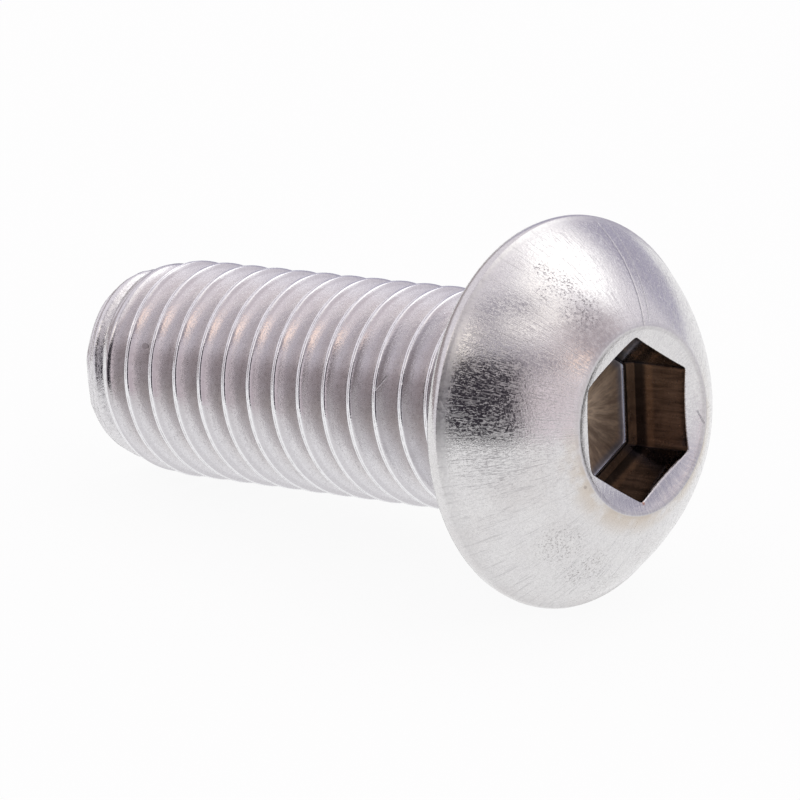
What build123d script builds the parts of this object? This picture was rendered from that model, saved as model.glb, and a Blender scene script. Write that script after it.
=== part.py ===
"""Button head screw, M8 x 1.25 x 20, fully threaded, with a hexagon socket.

The screw is one cold-forged piece with a rolled thread, so it is one solid. It is built along
its own axis: the bearing face under the head is at z = 0, the head rises above it and the
shank hangs below it. It is then laid on its side, as it comes to rest, on the rim of the head
and on a thread crest near the tip.

The thread is a closed skin of ruled strips: crest, two flanks and root, turn upon turn. Each
strip runs between two helices, and each turn of a helix is drawn as straight chords.
"""

from build123d import *
from math import atan2, ceil, cos, degrees, radians, sin, tan
import os

# ---------------------------------------------------------------- driving dimensions, mm

# Thread: metric coarse, single start, right hand.
thread_diameter = 7.92
thread_pitch = 1.25
flank_angle = 30.0  # of each flank from the plane across the axis, in degrees
thread_start = 5.5  # turn of the thread about the axis, in degrees
chords_per_turn = 32  # 0.02 mm inside the true helix at the middle of a chord

# Shank, from the bearing face to the end of the tip.
shank_length = 20.4
neck_length = 0.90  # plain length under the head
underhead_cone = 0.45  # 45 degree cone from the neck out to the bearing face
tip_taper_length = 2.21
tip_taper_angle = 15.3  # of the taper's side from the axis, in degrees
tip_chamfer = 0.12  # on the edge of the flat end

# Head.
head_diameter = 13.74  # to the corner of rim band and dome, before it is eased
bearing_diameter = 13.33  # to the back corner of the rim band, before it is eased
rim_height = 0.58  # of the rim band above the bearing face
head_height = 4.01
dome_bulge = 0.30  # of the dome's arc beyond its chord
rim_back_chamfer = 0.16
rim_front_chamfer = 0.10
mouth_rounding = 0.10

# Socket.
mouth_diameter = 6.58  # of the countersunk ring
countersink_slope = 21.0  # of the ring from the plane across the axis, in degrees
across_flats = 5.03
socket_depth = 2.60  # of the full-width walls, from the top of the head
punch_nose = 0.50  # length over which the socket narrows below its walls
punch_nose_inset = 0.09  # of each flat at the bottom of that length
floor_dish = 0.25  # of the middle of the floor below its edge
socket_turn = 54.4  # of the hexagon about the axis, in degrees

# ---------------------------------------------------------------- what follows from them

# The thread's section: flats of an eighth of the pitch on the crests, and 17/24 of the height
# of the sharp triangle deep, which leaves a root a sixth of the pitch wide.
sharp_height = thread_pitch / (2 * tan(radians(flank_angle)))
crest_flat = thread_pitch / 8
thread_depth = sharp_height * 17 / 24
thread_radius = thread_diameter / 2
root_radius = thread_radius - thread_depth
half_ridge = crest_flat / 2 + thread_depth * tan(radians(flank_angle))  # at the root

# The neck keeps the rolled blank's radius, where ridge and groove are equally wide.
neck_radius = thread_radius - (thread_pitch / 4 - crest_flat / 2) / tan(radians(flank_angle))
tip_radius = thread_radius - tip_taper_length * tan(radians(tip_taper_angle))
rim_radius = head_diameter / 2
bearing_radius = bearing_diameter / 2
mouth_radius = mouth_diameter / 2

overlap = 0.05  # by which solids run into each other before they are joined
clear_of = 1.00  # by which a cutting or trimming solid runs past what it trims
crests_near_tip = 4  # of which one meets the floor


def revolved(*corners):
    """A solid of revolution about the screw's axis from (radius, height) corners."""
    return revolve(Plane.XZ * make_face(Polyline(*corners, close=True)), Axis.Z)


def helix_turn(radius, height):
    """The chords' ends on one turn of a helix that starts at this radius and height."""
    start = Vector(radius, 0, height)
    climb = Vector(0, 0, thread_pitch / chords_per_turn)
    step = 360 / chords_per_turn
    return [
        start.rotate(Axis.Z, step * chord) + climb * chord
        for chord in range(chords_per_turn + 1)
    ]


def strip(lower, upper):
    """The ruled faces between two such turns, one face to a pair of chords."""
    pairs = list(zip(lower, upper))
    return [
        Face.make_surface_from_curves(
            Edge.make_line(low_start, low_end), Edge.make_line(high_start, high_end)
        )
        for (low_start, high_start), (low_end, high_end) in zip(pairs, pairs[1:])
    ]


def threaded_rod():
    """The thread's skin, closed at both ends, longer than the shank at both ends."""
    profile = [
        (thread_radius, -crest_flat / 2),
        (thread_radius, crest_flat / 2),
        (root_radius, half_ridge),
        (root_radius, thread_pitch - half_ridge),
        (thread_radius, thread_pitch - crest_flat / 2),
    ]
    helices = [helix_turn(*corner) for corner in profile]
    skin_turn = [
        face for lower, upper in zip(helices, helices[1:]) for face in strip(lower, upper)
    ]
    first, last = profile[0][1], profile[-1][1]
    end_wall = Plane.XZ * make_face(Polyline(*profile, (0, last), (0, first), close=True))
    end = [*strip(helices[0], helix_turn(0, first)), end_wall.face()]
    turns = ceil((shank_length - neck_length) / thread_pitch) + 2
    skin = [Pos(0, 0, turn * thread_pitch) * face for turn in range(turns) for face in skin_turn]
    far_end = [Pos(0, 0, turns * thread_pitch) * face for face in end]
    rod = Solid(Shell([*skin, *end, *far_end]))
    return Pos(0, 0, -shank_length - thread_pitch) * Rot(0, 0, thread_start) * rod


def trimmed_rod():
    """The rod cut to the taper and chamfer of the tip and to the run-out under the neck."""
    wide = thread_radius + clear_of
    spread = tan(radians(tip_taper_angle))
    return threaded_rod() & revolved(
        (0, -shank_length),
        (tip_radius - tip_chamfer, -shank_length),
        (tip_radius + tip_chamfer * spread, -shank_length + tip_chamfer),
        (wide, -shank_length + (wide - tip_radius) / spread),
        (wide, -neck_length - (wide - neck_radius)),
        (neck_radius - overlap, -neck_length + overlap),
        (0, -neck_length + overlap),
    )


def head_and_neck():
    """The head without its socket, its cone to the neck, and the cone that fills the
    thread's groove where the thread runs out."""
    cone_depth = mouth_radius * tan(radians(countersink_slope))
    runout_end = -neck_length - thread_pitch
    rim_back = (bearing_radius, 0)
    rim_front = (rim_radius, rim_height)
    mouth_edge = (mouth_radius, head_height)
    underhead = (neck_radius, 0)
    outline = [
        Polyline(
            (0, runout_end),
            (root_radius - overlap, runout_end),
            (neck_radius, -neck_length + overlap),
            underhead,
            rim_back,
            rim_front,
        ),
        SagittaArc(rim_front, mouth_edge, -dome_bulge),
        Polyline(mouth_edge, (0, head_height - cone_depth), (0, runout_end)),
    ]
    section = make_face(outline)
    for corner, eased, size in (
        (underhead, chamfer, underhead_cone),
        (rim_back, chamfer, rim_back_chamfer),
        (rim_front, chamfer, rim_front_chamfer),
        (mouth_edge, fillet, mouth_rounding),
    ):
        section = eased(section.vertices().sort_by_distance(corner)[0], size)
    return revolve(Plane.XZ * section, Axis.Z)


def hexagon(flats, height):
    """A hexagon across the screw's axis at this height."""
    return Pos(0, 0, height) * RegularPolygon(
        flats / 2, 6, major_radius=False, rotation=socket_turn
    )


def socket():
    """What the forging punch leaves: straight walls, a narrower nose and a dished floor."""
    wall_end = head_height - socket_depth
    floor_edge = wall_end - punch_nose
    floor_middle = floor_edge - floor_dish
    nose_flats = across_flats - 2 * punch_nose_inset
    walls = extrude(hexagon(across_flats, wall_end), socket_depth + clear_of)
    nose = loft([hexagon(nose_flats, floor_edge), hexagon(across_flats, wall_end)])
    dish = extrude(hexagon(nose_flats, floor_middle), floor_dish) & revolved(
        (0, floor_middle), (across_flats, floor_edge), (0, floor_edge)
    )
    return walls + nose + dish


def resting_tilt():
    """The axis's rise from the floor, in degrees, on the rim and on whichever thread crest
    meets the floor first as the screw is laid down."""
    turn_to_underside = (180 - thread_start) % 360
    last_crest = -shank_length + thread_pitch * turn_to_underside / 360 + crest_flat / 2
    rises = []
    for turn in range(crests_near_tip):
        height = last_crest + turn * thread_pitch
        on_taper = tip_radius + (height + shank_length) * tan(radians(tip_taper_angle))
        reach = min(thread_radius, on_taper)
        rises.append(degrees(atan2(rim_radius - reach, rim_height - height)))
    return min(rises)


def laid_down(screw):
    """The screw at rest: its axis rises towards the head, and its lowest point is at z = 0."""
    tilt = radians(resting_tilt())
    axis = (cos(tilt), 0, sin(tilt))
    upward = (-sin(tilt), 0, cos(tilt))
    laid = Plane(origin=(0, 0, 0), x_dir=upward, z_dir=axis).location * screw
    box = laid.bounding_box()
    middle = box.center()
    return Pos(-middle.X, -middle.Y, -box.min.Z) * laid


screw = head_and_neck() + trimmed_rod() - socket()

os.makedirs("parts", exist_ok=True)
export_step(laid_down(screw.solid()), "parts/screw.step")
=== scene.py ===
"""Looks of the button head screw: one fine mesh over the CAD solid, satin stainless steel, and
a white studio. The mesh code works in millimetres in the screw's own frame: the bearing face
is at z = 0, the head above it and the shank below it.
"""

from math import cos, pi, radians, sin, tan

import bpy
import numpy as np
from mathutils import Matrix, Vector


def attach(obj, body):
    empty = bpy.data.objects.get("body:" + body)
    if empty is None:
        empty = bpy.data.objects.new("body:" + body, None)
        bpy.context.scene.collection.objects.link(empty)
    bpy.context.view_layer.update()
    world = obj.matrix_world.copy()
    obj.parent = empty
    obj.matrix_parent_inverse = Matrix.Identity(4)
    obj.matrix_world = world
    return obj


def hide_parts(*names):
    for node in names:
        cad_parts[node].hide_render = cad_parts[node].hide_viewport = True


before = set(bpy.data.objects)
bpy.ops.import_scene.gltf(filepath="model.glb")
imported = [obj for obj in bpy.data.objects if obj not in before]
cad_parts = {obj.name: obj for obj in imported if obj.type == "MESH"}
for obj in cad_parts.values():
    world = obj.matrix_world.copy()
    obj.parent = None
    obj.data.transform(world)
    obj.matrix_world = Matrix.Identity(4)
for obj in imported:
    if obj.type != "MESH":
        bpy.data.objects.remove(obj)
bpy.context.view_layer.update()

MM = 0.001

# ------------------------------------------------------------------ sizes, mm

# These are the solid's, but for the seven marked "fitted", which are up to 0.06 mm or
# 0.3 degrees off it.
THREAD_RADIUS = 3.96
PITCH = 1.25
FLANK = radians(30)
THREAD_START = radians(5.23)  # fitted
CREST_FLAT = PITCH / 8
THREAD_DEPTH = PITCH / (2 * tan(FLANK)) * 17 / 24
ROOT_RADIUS = THREAD_RADIUS - THREAD_DEPTH

SHANK_LENGTH = 20.4
NECK_LENGTH = 0.90
NECK_RADIUS = THREAD_RADIUS - (PITCH / 4 - CREST_FLAT / 2) / tan(FLANK)
UNDERHEAD = 0.45
TIP_TAPER_LENGTH = 2.21
TIP_TAPER = tan(radians(15.3))
TIP_RADIUS = THREAD_RADIUS - TIP_TAPER_LENGTH * TIP_TAPER
TIP_Z = -SHANK_LENGTH

RIM_RADIUS = 6.905  # fitted
BEARING_RADIUS = 6.68  # fitted
RIM_HEIGHT = 0.52  # fitted
HEAD_HEIGHT = 4.00  # fitted
DOME_BULGE = 0.32  # fitted
MOUTH_RADIUS = 3.29
ACROSS_FLATS = 5.03
SOCKET_DEPTH = 2.60
PUNCH_NOSE = 0.50
PUNCH_NOSE_INSET = 0.09
FLOOR_DISH = 0.25
SOCKET_TURN = radians(54.14)  # fitted

WALL_END = HEAD_HEIGHT - SOCKET_DEPTH
FLOOR_EDGE = WALL_END - PUNCH_NOSE
FLOOR_MIDDLE = FLOOR_EDGE - FLOOR_DISH

# Where it lies: the bearing face's centre in the part's frame, and the axis's rise.
BEARING_CENTRE = Vector((8.0972, 0.0, 6.7006))
AXIS_RISE = radians(8.9087)

# ------------------------------------------------------------------ camera

CAMERA_FROM_BEARING = Vector((146.538, -164.639, 81.140))
CAMERA_LOOK = Vector((-0.641585, 0.685552, -0.344072))

camera = bpy.data.objects.new("camera", bpy.data.cameras.new("camera"))
bpy.context.scene.collection.objects.link(camera)
bpy.context.scene.camera = camera
camera.data.lens = 303.0
camera.data.sensor_width = 36.0
camera.data.clip_start = 0.01
camera.data.clip_end = 20.0
camera.location = (BEARING_CENTRE + CAMERA_FROM_BEARING) * MM
camera.rotation_euler = CAMERA_LOOK.to_track_quat("-Z", "Y").to_euler()

# ------------------------------------------------------------------ mesh

COLUMNS = 192
angles = SOCKET_TURN + np.arange(COLUMNS) * 2 * pi / COLUMNS
verts, faces = [], []


def waves(seed, *coords, count=9, low=0.6, high=3.0):
    """Smooth seeded noise, about -1 to 1, from sines of random direction over coords."""
    rng = np.random.default_rng(seed)
    total = 0
    for _ in range(count):
        direction = rng.normal(size=len(coords))
        direction *= rng.uniform(low, high) / np.linalg.norm(direction)
        phase = rng.uniform(0, 2 * pi)
        total = total + np.sin(sum(d * c for d, c in zip(direction, coords)) + phase)
    usual_reach = 1.05 * count**0.5
    return total / usual_reach


def soft_min(a, b, width):
    """The smaller of the two, with the corner between them rounded over about this width."""
    return (a + b - np.sqrt((a - b) ** 2 + width**2)) / 2


def soft_max(a, b, width):
    """The larger of the two, rounded in the same way."""
    return -soft_min(-a, -b, width)


def add_ring(radius, z, theta=angles):
    """A closed ring of vertices, and their numbers."""
    radius = np.broadcast_to(radius, theta.shape)
    z = np.broadcast_to(z, theta.shape)
    first = len(verts)
    verts.extend(zip(radius * np.cos(theta), radius * np.sin(theta), z))
    return np.arange(first, first + COLUMNS)


def grow(previous, radius, z, theta=angles, to_tip=False):
    """A ring joined to the one before it, above it or, towards the tip, below it."""
    ring = add_ring(radius, z, theta)
    below, above = (ring, previous) if to_tip else (previous, ring)
    for j in range(COLUMNS):
        k = (j + 1) % COLUMNS
        faces.append((below[j], below[k], above[k], above[j]))
    return ring


def cap(ring, z, to_tip=False):
    """A fan from the ring to a point on the axis."""
    verts.append((0, 0, z))
    middle = len(verts) - 1
    for j in range(COLUMNS):
        k = (j + 1) % COLUMNS
        faces.append((ring[k], ring[j], middle) if to_tip else (ring[j], ring[k], middle))


# Shank. These small forms of the rolled thread are in the mesh alone.
CREST_ROUNDING = 0.035
ROOT_ROUNDING = 0.09
CREST_SWAY = 0.004
SEAM_DEPTH, SEAM_RAGGED, SEAM_WIDTH = 0.016, 0.010, 0.026  # along the middle of each crest
TIP_SEAM_DEPTH, TIP_SEAM_RAGGED, TIP_SEAM_WIDTH = 0.07, 0.06, 0.03  # added near the tip
SEAM_DEEPEST = 0.16
TIP_ROUGH_END, TIP_ROUGH_FADE = TIP_TAPER_LENGTH + 0.9, 1.6  # from the tip's end
TIP_LUMPS = 0.03
TIP_ROUNDING = 0.05
FOLD_HEIGHT, FOLD_SPACING, FOLD_SWAY = 0.020, 0.22, 3.0
FOLDS_END, FOLDS_FADE = 1.5, 0.5  # from the tip's end
RUNOUT_ROUNDING = 0.05
FILL_ROUNDING = 0.04


def thread_surface(theta, z):
    """The shank's radius at an angle and a height: thread, taper, and run-out at the neck."""
    from_tip = z + SHANK_LENGTH
    below_neck = -NECK_LENGTH - z
    turn = (from_tip + PITCH) / PITCH - (theta - THREAD_START) / (2 * pi)
    offset = (turn - np.round(turn)) * PITCH
    x, y = np.cos(theta) * THREAD_RADIUS, np.sin(theta) * THREAD_RADIUS
    ragged = waves(11, x, y, z * 1.3, count=16, low=2.0, high=7.0)
    lumps = waves(12, x, y, z, count=12, low=0.8, high=2.6)
    near_tip = np.clip((TIP_ROUGH_END - from_tip) / TIP_ROUGH_FADE, 0, 1)

    # The thread, with the seam that rolling leaves on its crest. The seam opens near the tip.
    drop = soft_max(0.0, (np.abs(offset) - CREST_FLAT / 2) / tan(FLANK), CREST_ROUNDING)
    drop = soft_min(drop, THREAD_DEPTH, ROOT_ROUNDING)
    seam = SEAM_DEPTH + SEAM_RAGGED * ragged
    seam = seam + near_tip * (TIP_SEAM_DEPTH + TIP_SEAM_RAGGED * ragged)
    seam_width = SEAM_WIDTH + TIP_SEAM_WIDTH * near_tip
    drop = drop + np.clip(seam, 0.0, SEAM_DEEPEST) * np.exp(-((offset / seam_width) ** 2))
    radius = THREAD_RADIUS + CREST_SWAY * ragged - drop

    # The taper of the tip, with its lumps and folds.
    folds = np.sin(2 * pi * z / FOLD_SPACING + FOLD_SWAY * lumps)
    folds = folds * np.clip((FOLDS_END - from_tip) / FOLDS_FADE, 0, 1)
    taper = TIP_RADIUS + from_tip * TIP_TAPER
    taper = taper + TIP_LUMPS * lumps * near_tip + FOLD_HEIGHT * folds
    radius = soft_min(radius, taper, TIP_ROUNDING)

    # The run-out: the crest is cut down to the neck, and the groove fills up to it.
    radius = soft_min(radius, NECK_RADIUS + below_neck, RUNOUT_ROUNDING)
    fill = NECK_RADIUS - (NECK_RADIUS - ROOT_RADIUS) * below_neck / PITCH
    radius = soft_max(radius, fill, FILL_ROUNDING)
    return np.where(below_neck < 0, NECK_RADIUS, radius)


# The thread's rows follow the helix. They end on a level ring near the tip and on one in the
# neck, which rows that come this near or go past them share.
TIP_RING_Z = TIP_Z + 0.11
NECK_RING_Z = -NECK_LENGTH + 0.12
NEAR_A_RING = 0.012
HALF_PITCH_ROWS = [0.026, 0.052, 0.078, 0.104, 0.15, 0.24, 0.33, 0.42, 0.49, 0.54, 0.585]
FIRST_TURN, LAST_TURN = -2, int(SHANK_LENGTH / PITCH) + 2

offsets = np.array([0.0, *HALF_PITCH_ROWS, PITCH / 2, *(PITCH - h for h in HALF_PITCH_ROWS[::-1])])
per_turn = len(offsets)
climb = PITCH * (angles - THREAD_START) / (2 * pi) - SHANK_LENGTH - PITCH
rows_z = np.arange(FIRST_TURN, LAST_TURN)[:, None] * PITCH + offsets
thread_z = rows_z.reshape(-1, 1) + climb
thread_r = thread_surface(np.broadcast_to(angles, thread_z.shape), thread_z)
thread_points = np.stack([thread_r * np.cos(angles), thread_r * np.sin(angles), thread_z], axis=2)

tip_edge = thread_surface(angles, TIP_RING_Z)
tip_ring = add_ring(tip_edge, TIP_RING_Z)
neck_ring = add_ring(NECK_RADIUS, NECK_RING_Z)
at_tip = thread_z <= TIP_RING_Z + NEAR_A_RING
at_neck = thread_z >= NECK_RING_Z - NEAR_A_RING
numbers = np.where(at_tip, tip_ring, neck_ring)
between = ~(at_tip | at_neck)
numbers[between] = len(verts) + np.arange(between.sum())
verts.extend(map(tuple, thread_points[between]))

# Columns go once round, so the last one meets the first a whole turn of rows higher.
rows = len(numbers)
for i in range(rows - 1):
    for j in range(COLUMNS):
        k, up = (j + 1, i) if j + 1 < COLUMNS else (0, i + per_turn)
        if up + 1 < rows:
            quad = numbers[i, j], numbers[up, k], numbers[up + 1, k], numbers[i + 1, j]
            corners = tuple(dict.fromkeys(quad))
            if len(corners) > 2:
                faces.append(corners)

# Tip: a rounded edge by inset and height, then the slightly hollow end by share of its radius
# and depth.
EDGE_ROWS = ((0.022, 0.06), (0.055, 0.02), (0.10, 0.003), (0.2, 0.0))
END_ROWS = ((0.86, 0.02), (0.7, 0.05), (0.5, 0.07), (0.3, 0.085), (0.12, 0.09))
END_ROUGHNESS = 0.012

previous = tip_ring
for inset, height in EDGE_ROWS:
    previous = grow(previous, tip_edge - inset, TIP_Z + height, to_tip=True)
end_radius = tip_edge - EDGE_ROWS[-1][0]
for share, hollow in END_ROWS:
    r = (end_radius.mean() * (1 - share) + end_radius * share) * share
    rough = END_ROUGHNESS * waves(13, r * np.cos(angles), r * np.sin(angles), low=0.8, high=4)
    rough = rough * min(1, (1 - share) * 4)
    previous = grow(previous, r, TIP_Z + hollow + rough, to_tip=True)
cap(previous, TIP_Z + END_ROWS[-1][1], to_tip=True)


def rounded(before, corner, after, size, count):
    """An arc that replaces the corner and leaves each of its two lines this far from it."""
    a, c, b = (np.array(p, float) for p in (before, corner, after))
    u, w = (a - c) / np.linalg.norm(a - c), (b - c) / np.linalg.norm(b - c)
    half_angle = np.arccos(np.clip(u @ w, -1, 1)) / 2
    radius = size * tan(half_angle)
    bisector = (u + w) / np.linalg.norm(u + w)
    centre = c + bisector * radius / sin(half_angle)
    p, q = c + u * size - centre, c + w * size - centre
    points = []
    for s in np.linspace(0, 1, count):
        d = p * (1 - s) + q * s
        points.append(tuple(centre + radius * d / np.linalg.norm(d)))
    return points


# Head, from the neck round the rim and over the dome to the mouth, by (radius, height).
RIM_FRONT, MOUTH_EDGE = (RIM_RADIUS, RIM_HEIGHT), (MOUTH_RADIUS, HEAD_HEIGHT)
CREASE = 0.045  # between rim and dome, as a share of the dome's arc
DOME_END = 0.95  # of the arc, where the rounding of the mouth's edge begins
RIM_BACK_ROUNDING = 0.16
MOUTH_ROUNDING = 0.07
RIM_CURVE = [(6.83, 0.22), (6.868, 0.35), (6.889, 0.46), (6.886, 0.55), (6.864, 0.62)]
HEAD_SWAY = 0.006
HEXAGON_RADIUS = 2.904  # to its corners
SEAT_RADIUS, SEAT_HEIGHT = ACROSS_FLATS / 2, 3.715  # of the countersink at the flats' middles
SEAT_SLOPE, SEAT_CURVE = 0.237, 0.35

chord = np.array(MOUTH_EDGE) - RIM_FRONT
chord_length = np.linalg.norm(chord)
dome_radius = (chord_length**2 / 4 + DOME_BULGE**2) / (2 * DOME_BULGE)
outward = np.array([chord[1], -chord[0]]) / chord_length
dome_centre = (np.array(RIM_FRONT) + MOUTH_EDGE) / 2 - outward * (dome_radius - DOME_BULGE)
dome_start, dome_end = (
    np.arctan2(*(np.array(p) - dome_centre)[::-1]) for p in (RIM_FRONT, MOUTH_EDGE)
)


def dome_point(share):
    """A point at this share of the dome's arc, from the rim's front to the mouth's edge."""
    t = dome_start + (dome_end - dome_start) * share
    return tuple(dome_centre + dome_radius * np.array([cos(t), sin(t)]))


def bowl(r):
    """Height of the countersink, which is steepest at the mouth's edge."""
    from_seat = r - SEAT_RADIUS
    return SEAT_HEIGHT + SEAT_SLOPE * from_seat + SEAT_CURVE * from_seat * (r - HEXAGON_RADIUS)


crease = dome_point(CREASE)
in_bowl = (2.9, bowl(2.9))
mouth_round = rounded(dome_point(DOME_END), MOUTH_EDGE, in_bowl, MOUTH_ROUNDING, 5)
outline = [
    (NECK_RADIUS, -UNDERHEAD - 0.15),
    *rounded((NECK_RADIUS, -1), (NECK_RADIUS, 0), (BEARING_RADIUS, 0), UNDERHEAD, 9),
    *((r, 0.0) for r in (4.3, 4.9, 5.6, 6.2)),
    *rounded((NECK_RADIUS, 0), (BEARING_RADIUS, 0), RIM_FRONT, RIM_BACK_ROUNDING, 6),
    *RIM_CURVE,
    (6.848, 0.655),
    (crease[0] + 0.012, crease[1] - 0.008),
    dome_point(CREASE + 0.012),
    *(dome_point(share) for share in np.linspace(CREASE + 0.03, DOME_END, 30)),
    *mouth_round,
]
previous = neck_ring
for r, z in outline:
    x, y = np.cos(angles) * r, np.sin(angles) * r
    sway = HEAD_SWAY * waves(14, x, y, z, count=10, low=0.5, high=1.6)
    sway = sway * np.clip((z - 0.5) * 2, 0, 1)
    previous = grow(previous, r + sway, z + sway)


# The columns crowd towards the hexagon's corners by this share. A corner is rounded as its
# sides draw in, less where this flatness is more, and as they shorten by this factor.
CROWDING = 0.55
CORNER_FLATNESS = 3.4
CORNER_SHORTENING = 0.93


def hexagon(flats, corner):
    """Distance from the axis and angle of the columns on a hexagon with rounded corners."""
    share = np.arange(COLUMNS // 6) * 6 / COLUMNS
    share = CROWDING * (0.5 - 0.5 * np.cos(pi * share)) + (1 - CROWDING) * share
    across = flats / 2
    half_side = across * tan(pi / 6)
    points = []
    for side in range(6):
        middle = SOCKET_TURN + pi / 6 + side * pi / 3
        for t in share:
            y = (2 * t - 1) * half_side
            reach = max(0.0, abs(y) - (half_side - corner))
            x = across - reach**2 / (corner * CORNER_FLATNESS)
            if reach:
                y = np.sign(y) * (half_side - corner + reach * CORNER_SHORTENING)
            points.append((x * cos(middle) - y * sin(middle), x * sin(middle) + y * cos(middle)))
    points = np.array(points)
    theta = np.unwrap(np.arctan2(points[:, 1], points[:, 0]))
    theta += 2 * pi * np.round((angles[0] - theta[0]) / (2 * pi))
    return np.hypot(*points.T), theta


# Countersink: from the round mouth to the hexagon. A bright bevel is worn on one of its sides.
WORN_SIDE = SOCKET_TURN + radians(150)
BEVEL_WIDTH = 0.055
BEVEL_DROP = 0.035
WALL_TOP_DROP = 0.02  # of the wall under the bevel

hex_r, hex_theta = hexagon(ACROSS_FLATS + 0.05, 0.14)
from_middle = hex_theta - WORN_SIDE
worn_side = np.clip(np.cos(from_middle * 3), 0, 1) ** 0.35
worn_side = np.where(np.cos(from_middle) > 0.8, worn_side, 0)
edge_z = bowl(hex_r)
hex_r = hex_r + BEVEL_WIDTH * worn_side
mouth_r = mouth_round[-1][0]
for s in (0.12, 0.3, 0.5, 0.7, 0.86, 0.96, 1.0):
    r = mouth_r + (hex_r - mouth_r) * s
    previous = grow(previous, r, bowl(r), angles + (hex_theta - angles) * s)
edge_r, edge_theta = hexagon(ACROSS_FLATS + 0.012, 0.12)
previous = grow(previous, edge_r, edge_z - 0.022 - BEVEL_DROP * worn_side, edge_theta)

# Socket: walls, the narrower nose, and the dished floor.
wall_r, wall_theta = hexagon(ACROSS_FLATS, 0.11)
wall_top = edge_z - 0.06 - WALL_TOP_DROP * worn_side
for s in (0.0, 0.18, 0.36, 0.54, 0.72, 0.88, 0.97):
    previous = grow(previous, wall_r, wall_top + (WALL_END - wall_top) * s, wall_theta)
nose_r, nose_theta = hexagon(ACROSS_FLATS - 2 * PUNCH_NOSE_INSET, 0.16)
for s in (0.08, 0.4, 0.75, 0.93):
    r, theta = wall_r + (nose_r - wall_r) * s, wall_theta * (1 - s) + nose_theta * s
    previous = grow(previous, r, WALL_END - PUNCH_NOSE * s, theta)
for s in (0.985, 0.95, 0.88, 0.75, 0.6, 0.45, 0.3, 0.16, 0.06):
    previous = grow(previous, nose_r * s, FLOOR_EDGE - FLOOR_DISH * (1 - s), nose_theta)
cap(previous, FLOOR_MIDDLE)

mesh = bpy.data.meshes.new("screw_body")
mesh.from_pydata(verts, [], faces)
rise_cos, rise_sin = cos(AXIS_RISE), sin(AXIS_RISE)
laid = Matrix(((-rise_sin, 0, rise_cos), (0, -1, 0), (rise_cos, 0, rise_sin)))
mesh.transform(Matrix.Translation(BEARING_CENTRE * MM) @ laid.to_4x4() @ Matrix.Scale(MM, 4))
mesh.validate()
mesh.shade_smooth()
screw = bpy.data.objects.new("screw_body", mesh)
bpy.context.scene.collection.objects.link(screw)

# ------------------------------------------------------------------ nodes


def emptied(owner):
    """The owner's nodes and links, to build its shader from nothing."""
    owner.use_nodes = True
    owner.node_tree.nodes.clear()
    return owner.node_tree.nodes, owner.node_tree.links


def feed(socket, value):
    """Sets or links an input."""
    if isinstance(value, bpy.types.NodeSocket):
        links.new(value, socket)
    else:
        socket.default_value = value


def node(kind, inputs=None, **settings):
    """A node with its settings, and its inputs set or linked by name or number."""
    made = nodes.new(kind)
    for name, value in settings.items():
        setattr(made, name, value)
    for name, value in (inputs or {}).items():
        feed(made.inputs[name], value)
    return made


def calc(operation, a, b=0.0, clamp=False):
    """What a maths node makes of one or two numbers."""
    inputs = {0: a, 1: b}
    return node("ShaderNodeMath", inputs, operation=operation, use_clamp=clamp).outputs[0]


def plus(first, *others, clamp=False):
    """The sum, which clamp holds between 0 and 1."""
    for other in others[:-1]:
        first = calc("ADD", first, other)
    return calc("ADD", first, others[-1], clamp)


def times(first, *others):
    for other in others:
        first = calc("MULTIPLY", first, other)
    return first


def strongest(first, *others):
    for other in others:
        first = calc("MAXIMUM", first, other)
    return first


def outside(mask):
    return calc("SUBTRACT", 1.0, mask)


def ramp(value, low, high, to_low=0.0, to_high=1.0):
    """A smooth step from one value at low to another at high, which may be below low."""
    inputs = {"Value": value, "From Min": low, "From Max": high}
    inputs |= {"To Min": to_low, "To Max": to_high}
    return node("ShaderNodeMapRange", inputs, interpolation_type="SMOOTHSTEP").outputs[0]


def band(value, start, full, fading, end):
    """1 from full to fading, and 0 before start and past end."""
    return times(ramp(value, start, full), ramp(value, end, fading))


def vector(operation, a, b=(0.0, 0.0, 0.0), output="Vector"):
    """What a maths node makes of one or two vectors."""
    inputs = {0: a, 1: b}
    return node("ShaderNodeVectorMath", inputs, operation=operation).outputs[output]


def noise(place, scale, detail, roughness):
    inputs = {"Vector": place, "Scale": scale, "Detail": detail, "Roughness": roughness}
    return node("ShaderNodeTexNoise", inputs).outputs[0]


def mix(factor, a, b):
    """One colour over another; each is a socket or (red, green, blue)."""
    made = node("ShaderNodeMix", data_type="RGBA")
    feed(made.inputs[0], factor)
    for socket, value in ((made.inputs[6], a), (made.inputs[7], b)):
        feed(socket, (*value, 1) if isinstance(value, tuple) else value)
    return made.outputs[2]


def layered(colour, layers):
    """The colour with each layer's colour over it, as far as its mask says."""
    for mask, over in layers:
        colour = mix(mask, colour, over)
    return colour


# ------------------------------------------------------------------ material

steel = bpy.data.materials.new("satin_stainless_steel")
nodes, links = emptied(steel)

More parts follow.
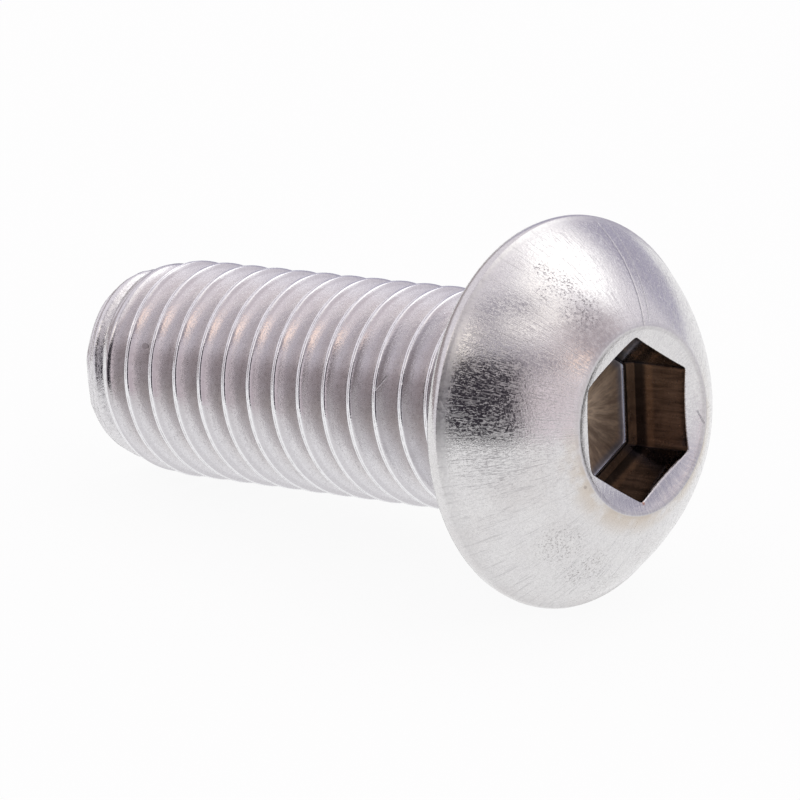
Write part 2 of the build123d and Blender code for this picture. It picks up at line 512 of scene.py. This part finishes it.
# The surface's place in the screw's own frame, in mm.
local = node(
    "ShaderNodeMapping",
    {
        "Vector": node("ShaderNodeTexCoord").outputs["Object"],
        "Location": BEARING_CENTRE * MM,
        "Rotation": laid.to_euler(),
        "Scale": (MM, MM, MM),
    },
    vector_type="TEXTURE",
).outputs[0]
across, beside, height = node("ShaderNodeSeparateXYZ", {0: local}).outputs
from_axis = vector("MULTIPLY", local, (1, 1, 0))
radius = vector("LENGTH", from_axis, output="Value")
spoke = vector("NORMALIZE", from_axis)
turned = calc("DIVIDE", calc("SUBTRACT", calc("ARCTAN2", beside, across), THREAD_START), 2 * pi)
turn = calc("SUBTRACT", calc("DIVIDE", plus(height, SHANK_LENGTH + PITCH), PITCH), turned)
from_crest = times(calc("SUBTRACT", calc("FRACT", plus(turn, 0.5)), 0.5), PITCH)
to_crest = calc("ABSOLUTE", from_crest)


def spot(point, reach, core=0.3):
    """1 at a point of the surface, out to the core's share of the reach, and 0 past it."""
    return ramp(vector("DISTANCE", local, point, "Value"), reach, reach * core)


def scratch(start, middle, end, width):
    """A fine line through three points of the surface, which fades out past its ends."""
    start, middle, end = Vector(start), Vector(middle), Vector(end)
    normal = (middle - start).cross(end - start).normalized()
    level = vector("DOT_PRODUCT", local, normal, "Value")
    off_plane = calc("ABSOLUTE", calc("SUBTRACT", level, normal.dot(start)))
    near = spot((start + end) / 2, (start - end).length * 0.6, 0.8)
    return times(ramp(off_plane, width, width * 0.3), near)


def streaks(round_axis, along, detail, roughness):
    """Noise that changes this fast by direction from the axis and this fast by place. Where the
    second is small, it draws out into streaks."""
    place = vector("MULTIPLY", local, along)
    place = vector("ADD", vector("MULTIPLY", spoke, (round_axis,) * 3), place)
    return noise(place, 1.0, detail, roughness)


speck = noise(local, 15.0, 2.0, 0.6)
pitting = noise(local, 12.0, 3.0, 0.75)
tumbled = noise(local, 13.0, 3.0, 0.7)
grain = noise(local, 6.0, 3.0, 0.6)
cloud = noise(local, 0.9, 3.0, 0.6)
blotch = noise(local, 0.35, 3.0, 0.55)
spokes = streaks(150, (0, 0, 7.0), 3.0, 0.65)  # marks that run outwards over the dome
lines = streaks(90, (0, 0, 1.1), 2.0, 0.6)
ring_marks = streaks(32, (1.5, 1.5, 1.5), 4.0, 0.7)
floor_marks = streaks(4, (0.9, 0.9, 0.4), 4.0, 0.7)
hoops = noise(vector("MULTIPLY", local, (1.6, 1.6, 15)), 1.0, 3.0, 0.65)  # round the shank
wall_marks = noise(vector("MULTIPLY", local, (7, 7, 0.5)), 1.0, 4.0, 0.65)

# Where things are, in mm.
on_shank = ramp(height, 0.02, -0.02)
on_head = outside(on_shank)
above_rim = ramp(height, RIM_HEIGHT - 0.02, RIM_HEIGHT + 0.18)
on_dome = times(above_rim, ramp(radius, MOUTH_RADIUS - 0.01, MOUTH_RADIUS + 0.05))
above_taper = ramp(height, TIP_Z + 1.1, TIP_Z + 1.7)
off_end_face = ramp(height, TIP_Z + 0.04, TIP_Z + 0.12, 0.3)
near_tip = times(ramp(height, TIP_Z + 1.8, TIP_Z + 0.8), off_end_face)
on_crest = times(on_shank, ramp(radius, THREAD_RADIUS - 0.26, THREAD_RADIUS - 0.16))
# Beside each crest on the head's side; the darker colour there is a painted dark reflection.
head_side = times(on_crest, band(from_crest, 0.06, 0.09, 0.15, 0.20))
# Painted shade: darker in the seam along the crests.
seam = times(on_crest, ramp(to_crest, 0.022, 0.008))
# Painted highlight: lighter along the crests.
crest = times(on_crest, ramp(to_crest, 0.10, 0.07))
# Painted shade: darker and browner towards the thread's roots.
groove = times(on_shank, ramp(radius, THREAD_RADIUS - 0.21, THREAD_RADIUS - 0.61), above_taper)
# Painted shade: the flanks darker along one side of the shank, about halfway up.
painted_flank_shade = times(
    on_shank,
    ramp(radius, THREAD_RADIUS - 0.02, THREAD_RADIUS - 0.10),
    above_taper,
    ramp(beside, 1.0, 2.6),
    band(across, -1.4, 0.4, 1.4, 2.1),
)
seat_line = plus(SEAT_HEIGHT, times(calc("SUBTRACT", radius, SEAT_RADIUS), SEAT_SLOPE))
below_seat = calc("SUBTRACT", seat_line, height)
inside = times(ramp(radius, 3.0, 2.95), ramp(below_seat, 0.03, 0.06), on_head)
within_mouth = ramp(radius, MOUTH_RADIUS + 0.03, MOUTH_RADIUS - 0.01)
on_ring = times(on_head, within_mouth, outside(inside))
# The countersink's lower side, painted darker below as painted shade.
low_on_ring = times(on_ring, ramp(across, -1.0, -2.0))
on_floor = ramp(height, FLOOR_EDGE + 0.005, FLOOR_EDGE - 0.005)

# Wear, pits, scratches and stains, and a dark patch of painted shade on the dome.
mouth_wear = times(on_head, band(radius, 3.10, 3.20, 3.36, 3.46))
dome_wear = plus(
    ramp(spokes, 0.52, 0.70),
    times(ramp(lines, 0.60, 0.68), 0.7),
    times(ramp(radius, 6.40, 6.80), 0.7),
    mouth_wear,
    clamp=True,
)
worn = plus(
    times(above_rim, strongest(on_dome, mouth_wear), dome_wear),
    times(on_shank, ramp(hoops, 0.52, 0.66), 0.4),
    times(ramp(tumbled, 0.54, 0.66), 0.6),
    clamp=True,
)
worn = times(worn, outside(head_side))
pit_clusters = strongest(
    spot((5.72, 1.90, 1.74), 0.40),
    spot((4.97, 2.40, 2.32), 0.45),
    times(spot((5.12, 1.72, 2.42), 0.9), 0.7),
    times(spot((4.27, 1.63, 3.15), 1.1), 0.8),
    times(spot((-3.65, 3.48, 2.74), 1.3), 0.8),
    times(spot((-4.98, 2.05, 2.42), 1.4), 0.85),
    times(spot((-6.00, 0.64, 1.72), 1.1), 0.6),
)
nicks = strongest(
    spot((-1.55, 3.13, 3.88), 0.09),
    spot((1.63, 3.02, -17.32), 0.14, 0.6),
    spot((1.60, 3.63, -3.88), 0.07),
)
pits = strongest(
    times(pit_clusters, ramp(pitting, 0.54, 0.66), ramp(grain, 0.42, 0.55)), times(nicks, 0.6)
)
scratches = strongest(
    scratch((6.21, -2.03, 1.08), (4.89, -1.47, 2.69), (3.41, -0.65, 3.90), 0.045),
    scratch((6.05, -2.65, 0.97), (4.78, -1.91, 2.66), (3.48, -1.04, 3.80), 0.026),
    scratch((-0.42, -2.96, 3.84), (-0.42, -2.96, 4.34), (-0.91, -3.11, 3.98), 0.030),
    scratch((1.50, 3.52, -5.35), (1.42, 3.54, -5.00), (1.25, 3.66, -4.60), 0.030),
)
scuffed = strongest(spot((-0.34, 5.63, 2.16), 1.3), times(spot((3.45, 1.71, 3.66), 1.2), 0.7))
# Browner, in patches, on the dome round the mouth's lower side.
browner_low_by_mouth = times(on_dome, ramp(radius, 4.2, 3.4), ramp(across, 1.5, -1.0), ramp(cloud, 0.35, 0.6))
# Painted shade: a dark patch on the dome by the mouth's upper side.
painted_shade_patch = times(spot((3.4, 1.60, 3.55), 1.9, 0.2), on_dome)
rust = spot((-2.91, 0.25, 3.82), 0.10)

# Socket: oiled brown steel with the punch's marks on the floor, darkened further by painted
# shade: the walls go nearly black low down, with a black line on the nose. The floor's pale
# colour is a painted pool of light, and a bluish band at its edge a painted reflection. The
# walls that face away from the camera are paler, so that light reaches the floor.
WALL_DARK, WALL_PALE = (0.08, 0.062, 0.056), (0.215, 0.175, 0.158)
FLOOR_DARK, FLOOR_PALE = (0.38, 0.285, 0.215), (0.82, 0.66, 0.50)
lower_wall_band = band(height, 1.80, 1.95, 2.10, 2.30)
nose_ring = band(height, FLOOR_EDGE, FLOOR_EDGE + 0.05, WALL_END - 0.04, WALL_END + 0.02)
socket = layered(
    mix(ramp(wall_marks, 0.3, 0.7), WALL_DARK, WALL_PALE),
    (
        (times(lower_wall_band, 0.4), (0.36, 0.265, 0.20)),
        (times(ramp(beside, 0.2, 1.2), 0.85), (0.84, 0.71, 0.62)),
        # painted shade: nearly black low on the walls
        (times(ramp(height, 2.0, 1.7), 0.95), (0.03, 0.026, 0.028)),
        (times(nose_ring, 0.9), (0.185, 0.155, 0.14)),
        # painted shade: a black line on the nose, near the floor's edge
        (band(height, 0.975, 0.99, 1.04, 1.06), (0.02, 0.02, 0.02)),
        # the floor's punch marks, its pale colour a painted pool of light
        (on_floor, mix(ramp(floor_marks, 0.3, 0.7), FLOOR_DARK, FLOOR_PALE)),
        # painted reflection: a bluish band at the floor's edge
        (times(band(height, 0.86, 0.89, 0.94, 0.99), 0.7), (0.30, 0.33, 0.42)),
    ),
)

STEEL_DULL, STEEL_BRIGHT = (0.72, 0.705, 0.715), (0.81, 0.80, 0.795)
colour = layered(
    mix(cloud, STEEL_DULL, STEEL_BRIGHT),
    (
        (times(ramp(blotch, 0.45, 0.75), 0.35), (0.60, 0.56, 0.55)),
        (times(on_shank, 0.6), (0.77, 0.755, 0.80)),
        # painted shade in the thread's roots
        (times(groove, 0.45), (0.50, 0.435, 0.405)),
        # painted shade on the flanks
        (times(painted_flank_shade, ramp(cloud, 0.2, 0.5, 0.25, 0.5)), (0.37, 0.32, 0.315)),
        # painted highlight: the tip painted lighter
        (times(near_tip, 0.6), (0.84, 0.83, 0.84)),
        (times(on_dome, scuffed, ramp(spokes, 0.42, 0.60), 0.45), (0.40, 0.385, 0.40)),
        (times(on_dome, ramp(lines, 0.56, 0.66), 0.35), (0.48, 0.47, 0.48)),
        (ramp(speck, 0.35, 0.65, 0.0, 0.32), (0.50, 0.49, 0.50)),
        (ramp(grain, 0.60, 0.35, 0.0, 0.15), (0.82, 0.81, 0.82)),
        (times(browner_low_by_mouth, 0.85), (0.60, 0.53, 0.46)),
        (times(painted_shade_patch, ramp(grain, 0.3, 0.6, 0.5, 1.0), 0.65), (0.30, 0.27, 0.29)),
        (times(pits, 0.75), (0.20, 0.17, 0.17)),
        (times(scratches, 0.5), (0.45, 0.44, 0.46)),
        (times(on_ring, ramp(ring_marks, 0.48, 0.68, 0.0, 0.4)), (0.52, 0.51, 0.54)),
        # the ring's marks, and painted shade on its lower side
        (times(low_on_ring, ramp(ring_marks, 0.35, 0.60, 0.25, 0.8)), (0.50, 0.49, 0.54)),
        (times(rust, 0.8), (0.50, 0.25, 0.18)),
        # painted dark reflection beside the crests
        (times(head_side, 0.25), (0.35, 0.33, 0.36)),
        # painted highlight on the crests
        (times(crest, 0.8), (0.93, 0.93, 0.95)),
        # painted shade in the crests' seam
        (times(seam, ramp(grain, 0.4, 0.6, 0.1, 0.75)), (0.34, 0.32, 0.33)),
        (inside, socket),
    ),
)
roughness = plus(
    0.09,
    times(cloud, 0.06),
    times(worn, 0.30),
    times(on_shank, 0.06),
    times(head_side, -0.10),
    times(on_ring, 0.12),
    times(inside, on_floor, 0.30),
    times(near_tip, ramp(grain, 0.4, 0.6), 0.12),
    clamp=True,
)
relief = plus(
    times(speck, 0.25),
    times(grain, plus(0.15, times(on_ring, 0.9))),
    times(worn, -0.12),
    times(near_tip, grain, 0.9),
    times(pits, -0.8),
    times(scratches, -1.2),
)
relief = times(relief, outside(times(inside, 0.75)))
RELIEF_DEPTH = 0.000016  # m
bump = node("ShaderNodeBump", {"Strength": 1.0, "Distance": RELIEF_DEPTH, "Height": relief})
shader = node(
    "ShaderNodeBsdfPrincipled",
    {"Base Color": colour, "Metallic": 1.0, "Roughness": roughness, "Normal": bump.outputs[0]},
)
node("ShaderNodeOutputMaterial", {"Surface": shader.outputs[0]})
mesh.materials.append(steel)

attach(screw, "root")
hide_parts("screw")

# ------------------------------------------------------------------ studio

# Soft-edged cards round the screw, each over the ones before it: azimuth (0 is +Y, 90 is +X),
# elevation, half width, half height and soft edge, in degrees, and colour.
STUDIO_LOW, STUDIO_HIGH = (0.80, 0.78, 0.82), (0.90, 0.86, 0.91)
CARDS = (
    (-100, 6, 48, 16, 8, (0.40, 0.35, 0.36)),
    (-25, 12, 30, 22, 10, (0.48, 0.46, 0.57)),
    (40, 13, 22, 12, 5, (0.56, 0.54, 0.62)),
    (78, 43, 30, 9, 5, (0.84, 0.77, 0.80)),
    (138, 56, 18, 11, 7, (0.44, 0.41, 0.46)),
    (58, 69, 26, 7, 6, (1.45, 1.40, 1.36)),
    (90, 60, 18, 7, 5, (1.30, 1.24, 1.20)),
    (120, 69, 15, 7, 5, (0.46, 0.43, 0.48)),
    (88, 36, 9, 4.5, 2.5, (1.50, 1.20, 1.04)),  # small and warm
    (12, 53, 16, 12, 9, (1.9, 1.9, 1.87)),  # the brightest
    (163, 50, 10, 10, 5, (1.5, 1.4, 1.30)),
    (112, 38, 15, 6, 4, (0.42, 0.38, 0.42)),
    (110, 12, 14, 20, 6, (0.86, 0.78, 0.82)),
    (145, 17, 21, 26, 2, (0.04, 0.035, 0.045)),  # nearly black, where the camera stands
)
WHITE = (1.0, 1.0, 1.0)

world = bpy.data.worlds.new("studio")
bpy.context.scene.world = world
nodes, links = emptied(world)
direction = node("ShaderNodeTexCoord").outputs["Generated"]


def rotated(place, angle, axis):
    inputs = {"Vector": place, "Angle": angle}
    return node("ShaderNodeVectorRotate", inputs, rotation_type=axis).outputs[0]


def card(azimuth, elevation, width, tall, soft):
    """A card's mask."""
    facing = rotated(direction, radians(azimuth), "Z_AXIS")
    facing = rotated(facing, -radians(elevation), "X_AXIS")
    x, y, z = node("ShaderNodeSeparateXYZ", {0: facing}).outputs
    ahead = calc("MAXIMUM", y, 0.001)
    masks = []
    for aside, half in ((x, width), (z, tall)):
        aside = calc("ABSOLUTE", calc("DIVIDE", aside, ahead))
        end, edge = tan(radians(half)), tan(radians(soft))
        masks.append(ramp(aside, end + edge, end - edge))
    return times(*masks)


level = node("ShaderNodeSeparateXYZ", {0: direction}).outputs[2]
light = mix(ramp(level, -0.1, 0.6), STUDIO_LOW, STUDIO_HIGH)
light = layered(light, ((card(*place), tint) for *place, tint in CARDS))
seen = node("ShaderNodeLightPath").outputs["Is Camera Ray"]
background = node("ShaderNodeBackground", {"Color": mix(seen, light, WHITE), "Strength": 1.0})
node("ShaderNodeOutputWorld", {"Surface": background.outputs[0]})

# The floor shows as the background's white, with a share of its own paint, which takes the
# screw's shadow.
FLOOR_REACH = 0.6  # m
FLOOR_PAINT = (0.98, 0.98, 0.98, 1)
FLOOR_GLOW = 0.92

floor_mesh = bpy.data.meshes.new("floor")
corners = [(-1, -1), (1, -1), (1, 1), (-1, 1)]
corners = [(x * FLOOR_REACH, y * FLOOR_REACH, 0) for x, y in corners]
floor_mesh.from_pydata(corners, [], [(0, 1, 2, 3)])
floor = bpy.data.objects.new("floor", floor_mesh)
bpy.context.scene.collection.objects.link(floor)
white = bpy.data.materials.new("white_table")
nodes, links = emptied(white)
path = node("ShaderNodeLightPath").outputs
shown = strongest(path["Is Camera Ray"], path["Is Glossy Ray"], path["Is Transmission Ray"])
paint = node("ShaderNodeBsdfDiffuse", {"Color": FLOOR_PAINT})
glow = node("ShaderNodeEmission", {"Color": (*WHITE, 1), "Strength": 1.0})
blend = node(
    "ShaderNodeMixShader",
    {0: times(shown, FLOOR_GLOW), 1: paint.outputs[0], 2: glow.outputs[0]},
)
node("ShaderNodeOutputMaterial", {"Surface": blend.outputs[0]})
floor_mesh.materials.append(white)

bpy.context.scene.view_settings.view_transform = "Standard"
